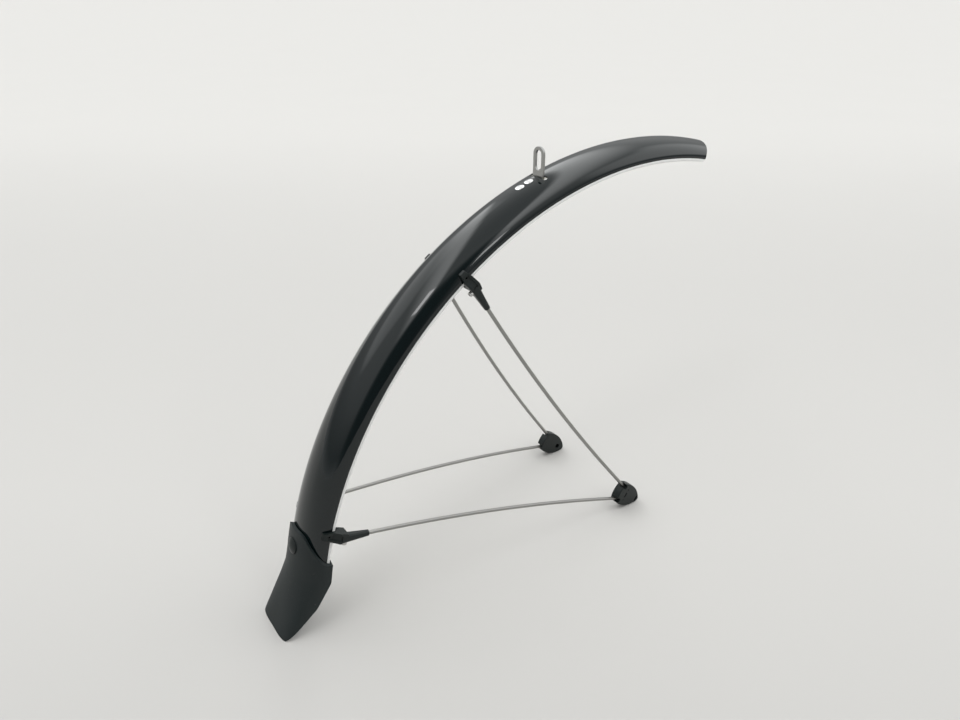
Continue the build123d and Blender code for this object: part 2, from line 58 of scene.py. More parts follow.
# A Mix node has sockets for each kind of value: these are the places of its two colours and their result.
MIX_COLOURS = (6, 7)
MIX_RESULT = 2

Colour = tuple[float, float, float]
Direction = tuple[float, float, float]
Pair = tuple[float, float]
Cover = tuple[float, float, float, float]
Sockets = Sequence[tuple[str, str]]
Socket = bpy.types.NodeSocket

log = logging.getLogger("mudguard")


class Slot(Enum):
    """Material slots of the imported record."""

    BLADE = "blade"
    WIRE = "wire"
    FLAP = "flap"


class Side(Enum):
    """The two sides of the wheel, with the sign of their Y."""

    LEFT = 1
    RIGHT = -1

    @property
    def label(self) -> str:
        """The side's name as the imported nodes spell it."""
        return self.name.lower()


class Graph:
    """A node tree under construction."""

    def __init__(self, tree: bpy.types.NodeTree) -> None:
        """Keep the tree that nodes are added to."""
        self.tree = tree

    def add(self, kind: str, **settings: Any) -> bpy.types.Node:
        """Add a node.

        Args:
            kind: The node's type name.
            settings: Properties to set on it.

        Returns:
            The new node.
        """
        node = self.tree.nodes.new(kind)
        for name, value in settings.items():
            setattr(node, name, value)
        return node

    def feed(self, socket: Socket, value: Any) -> None:
        """Link an output to a socket, or set the socket's own value.

        Args:
            socket: The input to feed.
            value: An output, or a plain value.
        """
        if isinstance(value, Socket):
            self.tree.links.new(value, socket)
        else:
            socket.default_value = value

    def math(self, operation: str, *values: Any) -> Socket:
        """Add a Math node.

        Args:
            operation: Its operation.
            values: Numbers or sockets for its inputs.

        Returns:
            Its output.
        """
        node = self.add("ShaderNodeMath", operation=operation)
        for socket, value in zip(node.inputs, values):
            self.feed(socket, value)
        return node.outputs[0]

    def length(self, first: Any, second: Any) -> Socket:
        """Length of a flat vector.

        Args:
            first: Its first part.
            second: Its second part.

        Returns:
            The root of the sum of their squares.
        """
        squares = [self.math("POWER", part, 2.0) for part in (first, second)]
        return self.math("SQRT", self.math("ADD", *squares))

    def towards(self, start: Any, goal: Any, share: Any) -> Socket:
        """A value moved from start towards goal by a share."""
        return self.math("MULTIPLY_ADD", share, self.math("SUBTRACT", goal, start), start)

    def blend(self, factor: Any, first: Any, second: Any) -> Socket:
        """Mix two colours.

        Args:
            factor: Share of the second colour.
            first: The first colour.
            second: The second colour.

        Returns:
            The mixed colour.
        """
        node = self.add("ShaderNodeMix", data_type="RGBA")
        self.feed(node.inputs["Factor"], factor)
        for place, colour in zip(MIX_COLOURS, (first, second)):
            self.feed(node.inputs[place], colour)
        return node.outputs[MIX_RESULT]

    def span(self, value: Any, low: float, high: float, start: float, end: float) -> Socket:
        """Map a value smoothly from low..high to start..end.

        Args:
            value: The value or its socket.
            low: Value that gives start.
            high: Value that gives end.
            start: Result at low and beyond.
            end: Result at high and beyond.

        Returns:
            The mapped value.
        """
        node = self.add("ShaderNodeMapRange", interpolation_type="SMOOTHSTEP")
        sockets = ("Value", "From Min", "From Max", "To Min", "To Max")
        for name, number in zip(sockets, (value, low, high, start, end)):
            self.feed(node.inputs[name], number)
        return node.outputs["Result"]

    def group(self, tree: bpy.types.NodeTree, **inputs: Any) -> bpy.types.Node:
        """Place a shader node group.

        Args:
            tree: The group.
            inputs: Its inputs, named in lower case and with underscores.

        Returns:
            The group's node.
        """
        node = self.add("ShaderNodeGroup", node_tree=tree)
        for name, value in inputs.items():
            self.feed(node.inputs[name.replace("_", " ").title()], value)
        return node


def rgba(colour: Colour, share: float = 1.0) -> Cover:
    """A colour with full cover, darkened or lightened by a share."""
    return (*(share * part for part in colour), 1.0)


def new_group(name: str, kind: str, inputs: Sockets, outputs: Sockets) -> Graph:
    """Start a node group with named sockets.

    Args:
        name: The group's name.
        kind: ShaderNodeTree or GeometryNodeTree.
        inputs: Names and short types of its inputs.
        outputs: Names and short types of its outputs.

    Returns:
        The group's graph, still empty.
    """
    tree = bpy.data.node_groups.new(name, kind)
    for in_out, sockets in (("INPUT", inputs), ("OUTPUT", outputs)):
        for label, short in sockets:
            tree.interface.new_socket(label, in_out=in_out, socket_type=f"NodeSocket{short}")
    return Graph(tree)


@dataclass(frozen=True)
class Wheel:
    """The wheel that the guard covers. Angles run about its axle from straight ahead over the top."""

    axle_x: float = 158.4923 * MM
    axle_z: float = -13.0 * MM
    rim_radius: float = 364.2 * MM

    @property
    def axle(self) -> Vector:
        """The middle of the axle."""
        return Vector((self.axle_x, 0.0, self.axle_z))

    def outward(self, angle: float) -> Vector:
        """Direction from the axle at an angle in degrees."""
        turn = math.radians(angle)
        return Vector((math.cos(turn), 0.0, math.sin(turn)))

    def along(self, angle: float) -> Vector:
        """Direction along the blade towards the flap at an angle in degrees."""
        turn = math.radians(angle)
        return Vector((-math.sin(turn), 0.0, math.cos(turn)))

    def across(self, distance: float) -> Vector:
        """Way to the left, along the axle."""
        return Vector((0.0, distance, 0.0))

    def at(self, radius: float, angle: float) -> Vector:
        """Point in the wheel's plane at a radius and an angle in degrees."""
        return self.axle + self.outward(angle) * radius


WHEEL = Wheel()


@dataclass
class Effects:
    """Shader node groups that several finishes share."""

    line_detail: float = 3.0
    patch_scale: float = 0.12
    patch_detail: float = 2.0
    pebble_softness: float = 0.6
    mottle_scale: float = 0.03
    mottle_detail: float = 4.0
    speck_scale: float = 0.35
    speck_detail: float = 1.0
    dust_range: Pair = (0.70, 0.80)

    def __post_init__(self) -> None:
        """Build each group once."""
        self.wheel_position = self.make_wheel_position()
        self.drawn_lines = self.make_drawn_lines()
        self.fine_grain = self.make_fine_grain()

    def make_wheel_position(self) -> bpy.types.NodeTree:
        """Place on the blade: across it, above its rim and unrolled along its arc.

        Returns:
            The group.
        """
        graph = new_group(
            "wheel_position",
            "ShaderNodeTree",
            (("Coordinates", "Vector"),),
            (("Across", "Float"), ("Height", "Float"), ("Unrolled", "Vector")),
        )
        start = graph.add("NodeGroupInput")
        split = graph.add("ShaderNodeSeparateXYZ")
        graph.feed(split.inputs[0], start.outputs["Coordinates"])
        ahead = graph.math("SUBTRACT", split.outputs["X"], WHEEL.axle_x)
        above = graph.math("SUBTRACT", split.outputs["Z"], WHEEL.axle_z)
        along = graph.math("MULTIPLY", graph.math("ARCTAN2", above, ahead), WHEEL.rim_radius)
        height = graph.math("SUBTRACT", graph.length(ahead, above), WHEEL.rim_radius)
        unrolled = graph.add("ShaderNodeCombineXYZ")
        for socket, value in zip(unrolled.inputs, (along, split.outputs["Y"], height)):
            graph.feed(socket, value)
        end = graph.add("NodeGroupOutput")
        results = {"Across": split.outputs["Y"], "Height": height, "Unrolled": unrolled.outputs[0]}
        for name, value in results.items():
            graph.feed(end.inputs[name], value)
        return graph.tree

    def make_drawn_lines(self) -> bpy.types.NodeTree:
        """Fine lines along the first coordinate, as drawing, rolling or extruding leaves them.

        Returns:
            The group.
        """
        graph = new_group(
            "drawn_lines",
            "ShaderNodeTree",
            (("Coordinates", "Vector"), ("Spacing", "Float"), ("Stretch", "Float")),
            (("Lines", "Float"), ("Patches", "Float")),
        )
        start = graph.add("NodeGroupInput")
        squeeze = graph.add("ShaderNodeCombineXYZ")
        per_line = graph.math("DIVIDE", 1.0, start.outputs["Spacing"])
        graph.feed(squeeze.inputs["X"], graph.math("DIVIDE", per_line, start.outputs["Stretch"]))
        graph.feed(squeeze.inputs["Y"], per_line)
        graph.feed(squeeze.inputs["Z"], per_line)
        place = graph.add("ShaderNodeVectorMath", operation="MULTIPLY")
        graph.feed(place.inputs[0], start.outputs["Coordinates"])
        graph.feed(place.inputs[1], squeeze.outputs[0])
        end = graph.add("NodeGroupOutput")
        for name, scale, detail in (
            ("Lines", 1.0, self.line_detail),
            ("Patches", self.patch_scale, self.patch_detail),
        ):
            noise = graph.add("ShaderNodeTexNoise")
            noise.inputs["Scale"].default_value = scale
            noise.inputs["Detail"].default_value = detail
            graph.feed(noise.inputs["Vector"], place.outputs[0])
            graph.feed(end.inputs[name], noise.outputs[0])
        return graph.tree

    def make_fine_grain(self) -> bpy.types.NodeTree:
        """Pebbled grain of a mould, with broad mottling and a few specks of dust.

        Returns:
            The group.
        """
        graph = new_group(
            "fine_grain",
            "ShaderNodeTree",
            (("Coordinates", "Vector"), ("Grain", "Float")),
            (("Pebbles", "Float"), ("Mottle", "Float"), ("Dust", "Float")),
        )
        start = graph.add("NodeGroupInput")
        per_grain = graph.math("DIVIDE", 1.0, start.outputs["Grain"])
        cells = graph.add("ShaderNodeTexVoronoi", feature="SMOOTH_F1")
        cells.inputs["Smoothness"].default_value = self.pebble_softness
        mottle = graph.add("ShaderNodeTexNoise")
        mottle.inputs["Detail"].default_value = self.mottle_detail
        specks = graph.add("ShaderNodeTexNoise")
        specks.inputs["Detail"].default_value = self.speck_detail
        for node, scale in ((cells, 1.0), (mottle, self.mottle_scale), (specks, self.speck_scale)):
            graph.feed(node.inputs["Vector"], start.outputs["Coordinates"])
            graph.feed(node.inputs["Scale"], graph.math("MULTIPLY", per_grain, scale))
        dust = graph.span(specks.outputs[0], *self.dust_range, 0.0, 1.0)
        end = graph.add("NodeGroupOutput")
        graph.feed(end.inputs["Pebbles"], cells.outputs["Distance"])
        graph.feed(end.inputs["Mottle"], mottle.outputs[0])
        graph.feed(end.inputs["Dust"], dust)
        return graph.tree


EFFECTS = Effects()


@dataclass(frozen=True)
class Finish:
    """A surface finish: each kind below fills in its own nodes."""

    name: str
    colour: Colour
    roughness: float
    metallic: float = 0.0
    specular: float = 0.5

    def make(self) -> bpy.types.Material:
        """Build the material.

        Returns:
            The material.
        """
        material = bpy.data.materials.new(self.name)
        material.use_nodes = True
        material.diffuse_color = rgba(self.colour)
        material.node_tree.nodes.clear()
        graph = Graph(material.node_tree)
        surface = graph.add("ShaderNodeBsdfPrincipled")
        surface.inputs["Base Color"].default_value = rgba(self.colour)
        surface.inputs["Roughness"].default_value = self.roughness
        surface.inputs["Metallic"].default_value = self.metallic
        surface.inputs["Specular IOR Level"].default_value = self.specular
        output = graph.add("ShaderNodeOutputMaterial")
        graph.feed(output.inputs["Surface"], surface.outputs[0])
        place = graph.add("ShaderNodeTexCoord")
        self.dress(graph, surface, place.outputs["Object"])
        return material

    def dress(self, graph: Graph, surface: bpy.types.Node, place: Socket) -> None:
        """Feed the surface with what varies over it.

        Args:
            graph: The material's graph.
            surface: Its Principled node.
            place: Object coordinates.
        """
        raise NotImplementedError

    def varied(self, graph: Graph, mask: Any, spread: float) -> Socket:
        """The finish's roughness, spread to both sides by a mask of 0 to 1."""
        return graph.math("MULTIPLY_ADD", mask, 2.0 * spread, self.roughness - spread)

    def raised(self, graph: Graph, height: Any, depth: float, round_off: float = 0.0) -> Socket:
        """A bumped normal.

        Args:
            graph: The material's graph.
            height: Height of the pattern, 0 to 1.
            depth: Its depth in metres.
            round_off: Radius that sharp edges are softened by.

        Returns:
            The normal.
        """
        bump = graph.add("ShaderNodeBump")
        bump.inputs["Distance"].default_value = depth
        graph.feed(bump.inputs["Height"], height)
        if round_off:
            bevel = graph.add("ShaderNodeBevel", samples=BEVEL_SAMPLES)
            bevel.inputs["Radius"].default_value = round_off
            graph.feed(bump.inputs["Normal"], bevel.outputs[0])
        return bump.outputs[0]


@dataclass(frozen=True)
class LipFinish(Finish):
    """Pale moulded edge of the blade, with fine lines along the rim."""

    line_spacing: float = 0.5 * MM
    line_stretch: float = 80.0
    line_depth: float = 0.01 * MM
    dim_share: float = 0.86
    gloss_spread: float = 0.06

    def rim_lines(self, graph: Graph, place: Socket) -> tuple[bpy.types.Node, bpy.types.Node]:
        """Lay fine lines along the guard.

        Args:
            graph: The material's graph.
            place: Object coordinates.

        Returns:
            The node with the place on the wheel, and the node with the lines.
        """
        where = graph.group(EFFECTS.wheel_position, coordinates=place)
        lines = graph.group(
            EFFECTS.drawn_lines,
            coordinates=where.outputs["Unrolled"],
            spacing=self.line_spacing,
            stretch=self.line_stretch,
        )
        return where, lines

    def dress(self, graph: Graph, surface: bpy.types.Node, place: Socket) -> None:
        """White with faint lines.

        Args:
            graph: The material's graph.
            surface: Its Principled node.
            place: Object coordinates.
        """
        _, lines = self.rim_lines(graph, place)
        tone = graph.blend(lines.outputs["Lines"], rgba(self.colour, self.dim_share), rgba(self.colour))
        gloss = self.varied(graph, lines.outputs["Patches"], self.gloss_spread)
        normal = self.raised(graph, lines.outputs["Lines"], self.line_depth)
        graph.feed(surface.inputs["Base Color"], tone)
        graph.feed(surface.inputs["Roughness"], gloss)
        graph.feed(surface.inputs["Normal"], normal)


@dataclass(frozen=True)
class BladeFinish(LipFinish):
    """Gloss skin outside, pale foil inside, told apart by the place in the section."""

    line_spacing: float = 2.4 * MM
    line_stretch: float = 60.0
    line_depth: float = 0.03 * MM
    dim_share: float = 0.9
    gloss_spread: float = 0.015
    foil: Colour = (0.72, 0.71, 0.65)
    foil_roughness: float = 0.34
    foil_metal: float = 0.25
    inner_share: float = 0.905
    patch_range: Pair = (0.3, 0.7)
    patch_tones: Pair = (0.75, 1.25)

    def dress(self, graph: Graph, surface: bpy.types.Node, place: Socket) -> None:
        """Black with extrusion lines outside, foil inside.

        Args:
            graph: The material's graph.
            surface: Its Principled node.
            place: Object coordinates.
        """
        where, lines = self.rim_lines(graph, place)
        across = graph.math("POWER", graph.math("DIVIDE", where.outputs["Across"], BLADE_HALF_WIDTH), 2.0)
        above = graph.math("POWER", graph.math("DIVIDE", where.outputs["Height"], BLADE_DEPTH), 2.0)
        inside = graph.math("LESS_THAN", graph.math("ADD", across, above), self.inner_share)
        shade = graph.span(lines.outputs["Patches"], *self.patch_range, *self.patch_tones)
        black = graph.add("ShaderNodeVectorMath", operation="SCALE")
        black.inputs[0].default_value = self.colour
        graph.feed(black.inputs["Scale"], shade)
        pale = graph.blend(lines.outputs["Lines"], rgba(self.foil), rgba(self.foil, self.dim_share))
        gloss = self.varied(graph, lines.outputs["Patches"], self.gloss_spread)
        step = graph.math("MULTIPLY", inside, self.foil_roughness - self.roughness)
        normal = self.raised(graph, lines.outputs["Lines"], self.line_depth)
        graph.feed(surface.inputs["Base Color"], graph.blend(inside, black.outputs[0], pale))
        graph.feed(surface.inputs["Metallic"], graph.math("MULTIPLY", inside, self.foil_metal))
        graph.feed(surface.inputs["Roughness"], graph.math("ADD", gloss, step))
        graph.feed(surface.inputs["Normal"], normal)


@dataclass(frozen=True)
class MetalFinish(Finish):
    """Bare metal with drawing or brushing lines along one direction, or along the piece's own attribute."""

    lines_along: Direction = (1.0, 0.0, 0.0)
    line_spacing: float = 0.25 * MM
    line_stretch: float = 40.0
    line_depth: float = 0.01 * MM
    dark_share: float = 0.72
    gloss_spread: float = 0.08
    attribute: str = ""

    def line_place(self, graph: Graph, place: Socket) -> Socket:
        """Coordinates whose first one runs along the lines.

        Args:
            graph: The material's graph.
            place: Object coordinates.

        Returns:
            The coordinates.
        """
        if self.attribute:
            return graph.add("ShaderNodeAttribute", attribute_name=self.attribute).outputs["Vector"]
        turned = graph.add("ShaderNodeMapping", vector_type="TEXTURE")
        turn = Vector((1.0, 0.0, 0.0)).rotation_difference(Vector(self.lines_along))
        turned.inputs["Rotation"].default_value = turn.to_euler()
        graph.feed(turned.inputs["Vector"], place)
        return turned.outputs[0]

    def dress(self, graph: Graph, surface: bpy.types.Node, place: Socket) -> None:
        """Lines that vary tone, gloss and height.

        Args:
            graph: The material's graph.
            surface: Its Principled node.
            place: Object coordinates.
        """
        lines = graph.group(
            EFFECTS.drawn_lines,
            coordinates=self.line_place(graph, place),
            spacing=self.line_spacing,
            stretch=self.line_stretch,
        )
        tone = graph.blend(lines.outputs["Lines"], rgba(self.colour, self.dark_share), rgba(self.colour))
        gloss = self.varied(graph, lines.outputs["Patches"], self.gloss_spread)
        normal = self.raised(graph, lines.outputs["Lines"], self.line_depth)
        graph.feed(surface.inputs["Base Color"], tone)
        graph.feed(surface.inputs["Roughness"], gloss)
        graph.feed(surface.inputs["Normal"], normal)


@dataclass(frozen=True)
class MouldedFinish(Finish):
    """Moulded plastic or rubber: a grain, broad mottling and softened edges."""

    grain: float = 0.35 * MM
    grain_depth: float = 0.02 * MM
    edge_radius: float = 0.35 * MM
    light_share: float = 1.35
    dust: Colour = (0.10, 0.10, 0.10)
    dust_share: float = 0.25
    gloss_spread: float = 0.07

    def dress(self, graph: Graph, surface: bpy.types.Node, place: Socket) -> None:
        """Grain in the normal, mottling in tone and gloss, a trace of dust.

        Args:
            graph: The material's graph.
            surface: Its Principled node.
            place: Object coordinates.
        """
        grain = graph.group(EFFECTS.fine_grain, coordinates=place, grain=self.grain)
        tone = graph.blend(grain.outputs["Mottle"], rgba(self.colour), rgba(self.colour, self.light_share))
        dusty = graph.math("MULTIPLY", grain.outputs["Dust"], self.dust_share)
        gloss = self.varied(graph, grain.outputs["Mottle"], self.gloss_spread)
        normal = self.raised(graph, grain.outputs["Pebbles"], self.grain_depth, self.edge_radius)
        graph.feed(surface.inputs["Base Color"], graph.blend(dusty, tone, rgba(self.dust)))
        graph.feed(surface.inputs["Roughness"], gloss)
        graph.feed(surface.inputs["Normal"], normal)


@dataclass(frozen=True)
class FloorFinish(Finish):
    """Plain pale paper, with painted shade on the near side and painted light far off."""

    mottle_size: float = 0.4
    dim_share: float = 0.985
    # painted shade towards the near side and painted light far off, as shares of the paper's tone
    near_side: Pair = (-0.61, -0.79)
    painted_shade_run: Pair = (-0.05, 0.50)
    painted_shade_share: float = 0.86
    painted_light_run: Pair = (0.3, 2.5)
    painted_light_share: float = 1.16

    def dress(self, graph: Graph, surface: bpy.types.Node, place: Socket) -> None:
        """A trace of unevenness in the tone, painted shade making it a little darker on the near side and
        painted light making it lighter far off.

        Args:
            graph: The material's graph.
            surface: Its Principled node.
            place: Object coordinates.
        """
        mottle = graph.add("ShaderNodeTexNoise")
        mottle.inputs["Scale"].default_value = 1.0 / self.mottle_size
        graph.feed(mottle.inputs["Vector"], place)
        paper = graph.blend(mottle.outputs[0], rgba(self.colour, self.dim_share), rgba(self.colour))
        split = graph.add("ShaderNodeSeparateXYZ")
        graph.feed(split.inputs[0], place)
        ahead = graph.math("MULTIPLY", split.outputs["X"], self.near_side[0])
        nearer = graph.math("MULTIPLY_ADD", split.outputs["Y"], self.near_side[1], ahead)
        # painted shade: the paper is darkened towards the near side
        shade = graph.span(nearer, *self.painted_shade_run, 1.0, self.painted_shade_share)
        farther = graph.math("MULTIPLY", nearer, -1.0)
        # painted light: the paper is lightened far off
        light = graph.span(farther, *self.painted_light_run, 1.0, self.painted_light_share)
        toned = graph.add("ShaderNodeVectorMath", operation="SCALE")
        graph.feed(toned.inputs[0], paper)
        graph.feed(toned.inputs["Scale"], graph.math("MULTIPLY", shade, light))
        graph.feed(surface.inputs["Base Color"], toned.outputs[0])


BLADE_SKIN = BladeFinish("gloss_black_skin", (0.0014, 0.0048, 0.0054), 0.045, specular=0.52)
LIP_PLASTIC = LipFinish("pale_lip", (0.88, 0.88, 0.865), 0.32)
BRIGHT_STEEL = MetalFinish("bright_steel", (0.40, 0.40, 0.39), 0.30, 1.0, lines_along=(0.0, 0.0, 1.0))
SCREW_STEEL = MetalFinish("screw_steel", (0.58, 0.575, 0.56), 0.24, 1.0, lines_along=(0.0, 1.0, 0.0))
STAY_WIRE = MetalFinish("drawn_wire", (0.36, 0.355, 0.34), 0.34, 1.0, attribute="wire_place")
RIVET_ALUMINIUM = MetalFinish(
    "rivet_aluminium", (0.90, 0.90, 0.89), 0.28, 1.0, lines_along=(0.0, 1.0, 0.0)
)
SATIN_MOULDING = MouldedFinish("satin_black_moulding", (0.0070, 0.0104, 0.0098), 0.38, specular=0.3)
FLAP_RUBBER = MouldedFinish(
    "charcoal_rubber",
    (0.0106, 0.0150, 0.0156),
    0.52,
    specular=0.28,
    grain=0.6 * MM,
    grain_depth=0.03 * MM,
    edge_radius=0.5 * MM,
)
PALE_FLOOR = FloorFinish("pale_floor", (0.582, 0.570, 0.552), 0.85, specular=0.1)


def mesh_object(name: str, mesh: bpy.types.Mesh) -> bpy.types.Object:
    """Put a mesh in the scene.

    Args:
        name: Name of its object.
        mesh: The mesh.

    Returns:
        The object.
    """
    made = bpy.data.objects.new(name, mesh)
    bpy.context.scene.collection.objects.link(made)
    return made


def line_mesh(name: str, points: Sequence[Vector], closed: bool) -> bpy.types.Mesh:
    """A mesh of edges through points.

    Args:
        name: The mesh's name.
        points: The points in order.
        closed: Whether the last joins the first.

    Returns:
        The mesh.
    """
    count = len(points)
    edges = [(i, (i + 1) % count) for i in range(count if closed else count - 1)]
    mesh = bpy.data.meshes.new(name)
    mesh.from_pydata([tuple(p) for p in points], edges, [])
    return mesh


def prism(name: str, outline: Sequence[Vector], sweep: Vector) -> bpy.types.Object:
    """A closed prism.

    Args:
        name: The object's name.
        outline: Corners of one end.
        sweep: Way from that end to the other.

    Returns:
        The prism's object, with its faces outwards.
    """
    shape = bmesh.new()
    ends = [[shape.verts.new(p + sweep * end) for p in outline] for end in (0, 1)]
    shape.faces.new(ends[0])
    shape.faces.new(reversed(ends[1]))
    for i, (a, b) in enumerate(zip(*ends)):
        j = (i + 1) % len(outline)
        shape.faces.new((a, b, ends[1][j], ends[0][j]))
    bmesh.ops.recalc_face_normals(shape, faces=shape.faces)
    mesh = bpy.data.meshes.new(name)
    shape.to_mesh(mesh)
    shape.free()
    return mesh_object(name, mesh)


def bake(piece: bpy.types.Object) -> None:
    """Make a piece's evaluated mesh its own, with closed seams, faces outwards and no modifier left.

    Args:
        piece: Object with its modifiers.
    """
    bpy.context.view_layer.update()
    graph = bpy.context.evaluated_depsgraph_get()
    mesh = bpy.data.meshes.new_from_object(piece.evaluated_get(graph), depsgraph=graph)
    mesh.name = piece.name
    shape = bmesh.new()
    shape.from_mesh(mesh)
    bmesh.ops.remove_doubles(shape, verts=shape.verts, dist=SEAM_WELD)
    bmesh.ops.recalc_face_normals(shape, faces=shape.faces)
    shape.to_mesh(mesh)
    shape.free()
    piece.modifiers.clear()
    piece.data = mesh


def run_nodes(
    name: str, base: bpy.types.Mesh, tree: bpy.types.NodeTree, values: dict[str, Any]
) -> bpy.types.Object:
    """Run a geometry node tree on a base mesh and keep its result as a plain mesh.

    Args:
        name: Name of the finished object.
        base: Mesh that the tree starts from.
        tree: The geometry node tree.
        values: Its inputs by name.

    Returns:
        The finished object, with no modifier left.
    """
    made = mesh_object(name, base)
    modifier = made.modifiers.new(tree.name, "NODES")
    modifier.node_group = tree
    for item in tree.interface.items_tree:
        if item.item_type == "SOCKET" and item.in_out == "INPUT" and item.name in values:
            modifier[item.identifier] = values[item.name]
    bake(made)
    return made


def finish_tree(graph: Graph, shape: Socket, finish: Socket, result: str) -> bpy.types.NodeTree:
    """End a geometry node tree: make instances real, set the material and put the result out.

    Args:
        graph: The tree's graph.
        shape: Geometry so far.
        finish: The material.
        result: Name of the tree's output.

    Returns:
        The finished tree.
    """
    real = graph.add("GeometryNodeRealizeInstances")
    graph.feed(real.inputs[0], shape)
    paint = graph.add("GeometryNodeSetMaterial")
    graph.feed(paint.inputs["Geometry"], real.outputs[0])
    graph.feed(paint.inputs["Material"], finish)
    end = graph.add("NodeGroupOutput")
    graph.feed(end.inputs[result], paint.outputs[0])
    return graph.tree


def swept_section_tree() -> bpy.types.NodeTree:
    """Tree that sweeps a closed section about the axle.

    Returns:
        The tree. Its base mesh is the section: X outwards from the rim, Y across the blade.
    """
    graph = new_group(
        "swept_section",
        "GeometryNodeTree",
        (
            ("Section", "Geometry"),
            ("Rim Radius", "Float"),
            ("Start Angle", "Float"),
            ("Sweep", "Float"),
            ("Steps", "Int"),
            ("Axle", "Vector"),
            ("Finish", "Material"),
        ),
        (("Guard", "Geometry"),),
    )
    start = graph.add("NodeGroupInput")
    arc = graph.add("GeometryNodeCurveArc")
    for name, source in (
        ("Resolution", "Steps"),
        ("Radius", "Rim Radius"),
        ("Start Angle", "Start Angle"),
        ("Sweep Angle", "Sweep"),
    ):
        graph.feed(arc.inputs[name], start.outputs[source])
    section = graph.add("GeometryNodeMeshToCurve")
    graph.feed(section.inputs[0], start.outputs["Section"])
    sweep = graph.add("GeometryNodeCurveToMesh")
    graph.feed(sweep.inputs["Curve"], arc.outputs["Curve"])
    graph.feed(sweep.inputs["Profile Curve"], section.outputs[0])
    sweep.inputs["Fill Caps"].default_value = True
    stand = graph.add("GeometryNodeTransform")
    graph.feed(stand.inputs["Geometry"], sweep.outputs[0])
    graph.feed(stand.inputs["Translation"], start.outputs["Axle"])
    stand.inputs["Rotation"].default_value = (math.pi / 2.0, 0.0, 0.0)
    return finish_tree(graph, stand.outputs[0], start.outputs["Finish"], "Guard")


def bent_wire_tree() -> bpy.types.NodeTree:
    """Tree that draws a round wire along a line of edges.

    Returns:
        The tree. It keeps the place along and round the wire as the attribute wire_place.
    """
    graph = new_group(
        "bent_wire",
        "GeometryNodeTree",
        (("Route", "Geometry"), ("Gauge", "Float"), ("Facets", "Int"), ("Finish", "Material")),
        (("Wire", "Geometry"),),
    )

    def keep(shape: Socket, kind: str, name: str, value: Socket) -> Socket:
        """Store a value on the points of a shape under a name and return the shape."""
        store = graph.add("GeometryNodeStoreNamedAttribute", data_type=kind, domain="POINT")
        for socket, given in (("Geometry", shape), ("Name", name), ("Value", value)):
            graph.feed(store.inputs[socket], given)
        return store.outputs[0]

    def recall(kind: str, name: str) -> Socket:
        """Read a value that was stored under a name."""
        node = graph.add("GeometryNodeInputNamedAttribute", data_type=kind)
        graph.feed(node.inputs["Name"], name)
        return node.outputs[0]

    start = graph.add("NodeGroupInput")
    route = graph.add("GeometryNodeMeshToCurve")
    graph.feed(route.inputs[0], start.outputs["Route"])
    run = graph.add("GeometryNodeSplineParameter").outputs["Length"]
    ring = graph.add("GeometryNodeCurvePrimitiveCircle", mode="RADIUS")
    graph.feed(ring.inputs["Resolution"], start.outputs["Facets"])
    graph.feed(ring.inputs["Radius"], graph.math("DIVIDE", start.outputs["Gauge"], 2.0))
    spot = graph.add("GeometryNodeInputPosition").outputs[0]
    tube = graph.add("GeometryNodeCurveToMesh")
    graph.feed(tube.inputs["Curve"], keep(route.outputs[0], "FLOAT", "wire_run", run))
    graph.feed(tube.inputs["Profile Curve"], keep(ring.outputs["Curve"], "FLOAT_VECTOR", "wire_turn", spot))
    tube.inputs["Fill Caps"].default_value = True
    turn = graph.add("ShaderNodeSeparateXYZ")
    graph.feed(turn.inputs[0], recall("FLOAT_VECTOR", "wire_turn"))
    place = graph.add("ShaderNodeCombineXYZ")
    along = recall("FLOAT", "wire_run")
    for socket, value in zip(place.inputs, (along, turn.outputs["X"], turn.outputs["Y"])):
        graph.feed(socket, value)
    placed = keep(tube.outputs[0], "FLOAT_VECTOR", "wire_place", place.outputs[0])
    return finish_tree(graph, placed, start.outputs["Finish"], "Wire")


def settle(piece: bpy.types.Object, node: str) -> None:
    """Let a finished piece ride on the guard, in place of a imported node.

    Args:
        piece: The piece.
        node: Name of the node that it stands for.
    """
    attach(piece, BODY)
    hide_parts(node)
    log.info("%s: %d faces in place of %s", piece.name, len(piece.data.polygons), node)


def paint_node(name: str, material: bpy.types.Material) -> None:
    """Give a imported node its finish.

    Args:
        name: The node's name.
        material: The finish.
    """
    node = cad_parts[name]
    node.data.materials.clear()
    node.data.materials.append(material)
    log.info("%s: finished as %s", name, material.name)


